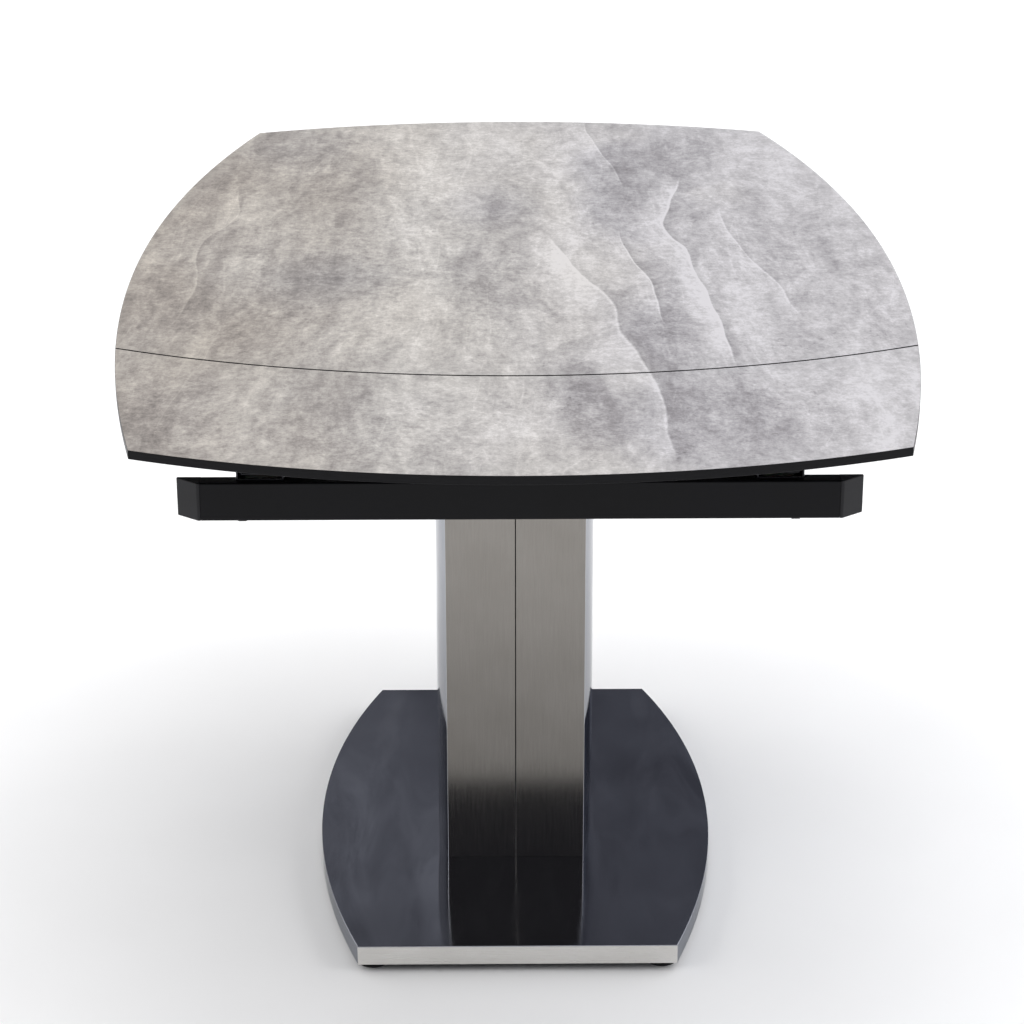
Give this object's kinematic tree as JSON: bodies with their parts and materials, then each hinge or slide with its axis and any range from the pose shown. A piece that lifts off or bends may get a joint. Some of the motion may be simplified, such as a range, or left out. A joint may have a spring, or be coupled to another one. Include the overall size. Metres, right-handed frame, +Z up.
{
  "type": "extendable dining table",
  "caption": "Extending pedestal dining table: barrel-shaped stone-look top, end leaf on telescopic runners, stored insert leaf, steel column on a bulged base plate.",
  "frame": {"origin": "on the floor, under the middle of the closed top", "axes": "+Z up; +Y along the table, away from the end leaf; +X across it"},
  "size_m": [0.888, 1.5998, 0.76],
  "materials": {
    "stone": "matt stone-look sintered sheet",
    "black_board": "satin black edge",
    "polished_steel": "mirror polished stainless",
    "brushed_steel": "brushed stainless",
    "black_steel": "satin black powder coat",
    "zinc_steel": "bright zinc",
    "structural_steel": "grey primer",
    "core_board": "raw fibreboard",
    "rubber": "moulded rubber",
    "black_plastic": "moulded, fine texture",
    "nylon": "natural nylon",
    "brass": "turned"
  },
  "bodies": {
    "root": {"base_under_plate": "black_steel", "base_weight_plate": "structural_steel", "base_core_board": "core_board", "base_top_skin": "polished_steel", "base_front_band": "brushed_steel", "base_rear_band": "brushed_steel", "base_left_band": "polished_steel", "base_right_band": "polished_steel", "foot_sleeves": "zinc_steel", "column_tube": "structural_steel", "column_foot_flange": "structural_steel", "column_head_plate": "black_steel", "column_bolts": "zinc_steel", "column_formers": "core_board", "column_front_strip_left": "brushed_steel", "column_front_strip_right": "brushed_steel", "column_rear_strips": "brushed_steel", "column_left_panel": "polished_steel", "column_right_panel": "polished_steel", "frame_end_beams": "black_steel", "frame_side_rails": "black_steel", "frame_cross_beams": "black_steel", "frame_end_caps": "black_plastic", "runner_outers": "black_steel", "runner_screws": "zinc_steel", "runner_buffers": "rubber", "main_board": "black_board", "main_stone": "stone", "main_support_bars": "black_steel", "main_spacers": "black_steel", "main_dowel_bushes": "brass", "seam_gasket": "rubber", "latch_brackets": "zinc_steel"},
    "end_leaf": {"end_board": "black_board", "end_stone": "stone", "end_spacer_bars": "black_steel", "end_cross_bar": "black_steel", "end_dowels": "brass", "end_keepers": "zinc_steel", "runner_inners": "black_steel", "runner_inner_glides": "nylon"},
    "insert_leaf": {"insert_board": "black_board", "insert_stone": "stone", "insert_skids": "nylon"},
    "mid_runner_left": {"runner_mid_left": "black_steel", "runner_glides_left": "nylon"},
    "mid_runner_right": {"runner_mid_right": "black_steel", "runner_glides_right": "nylon"},
    "latch_left": {"latch_lever_left": "zinc_steel", "latch_grip_left": "black_plastic"},
    "latch_right": {"latch_lever_right": "zinc_steel", "latch_grip_right": "black_plastic"},
    "foot_front_left": {"foot_stem_front_left": "black_steel", "foot_pad_front_left": "rubber"},
    "foot_front_right": {"foot_stem_front_right": "black_steel", "foot_pad_front_right": "rubber"},
    "foot_rear_left": {"foot_stem_rear_left": "black_steel", "foot_pad_rear_left": "rubber"},
    "foot_rear_right": {"foot_stem_rear_right": "black_steel", "foot_pad_rear_right": "rubber"}
  },
  "joints": [
    {"name": "end_leaf_slide", "type": "slide", "parent": "root", "child": "end_leaf", "axis": [0, -1, 0], "range_m": [0, 0.4]},
    {"name": "insert_leaf_slide", "type": "slide", "parent": "root", "child": "insert_leaf", "axis": [0, -1, 0], "range_m": [0, 0.4]},
    {"name": "mid_runner_left_slide", "type": "slide", "parent": "root", "child": "mid_runner_left", "axis": [0, -1, 0], "range_m": [0, 0.2]},
    {"name": "mid_runner_right_slide", "type": "slide", "parent": "root", "child": "mid_runner_right", "axis": [0, -1, 0], "range_m": [0, 0.2]},
    {"name": "latch_left_turn", "type": "hinge", "parent": "root", "child": "latch_left", "pos_m": [-0.2765, -0.56, 0.694], "axis": [1, 0, 0], "range_deg": [0, 90]},
    {"name": "latch_right_turn", "type": "hinge", "parent": "root", "child": "latch_right", "pos_m": [0.2765, -0.56, 0.694], "axis": [1, 0, 0], "range_deg": [0, 90]},
    {"name": "foot_front_left_screw", "type": "slide", "parent": "root", "child": "foot_front_left", "axis": [0, 0, -1], "range_m": [0, 0.008]},
    {"name": "foot_front_right_screw", "type": "slide", "parent": "root", "child": "foot_front_right", "axis": [0, 0, -1], "range_m": [0, 0.008]},
    {"name": "foot_rear_left_screw", "type": "slide", "parent": "root", "child": "foot_rear_left", "axis": [0, 0, -1], "range_m": [0, 0.008]},
    {"name": "foot_rear_right_screw", "type": "slide", "parent": "root", "child": "foot_rear_right", "axis": [0, 0, -1], "range_m": [0, 0.008]}
  ],
  "couplings": [
    {"joint": "insert_leaf_slide", "follows": "end_leaf_slide", "ratio": 1},
    {"joint": "mid_runner_left_slide", "follows": "end_leaf_slide", "ratio": 0.5},
    {"joint": "mid_runner_right_slide", "follows": "end_leaf_slide", "ratio": 0.5}
  ]
}
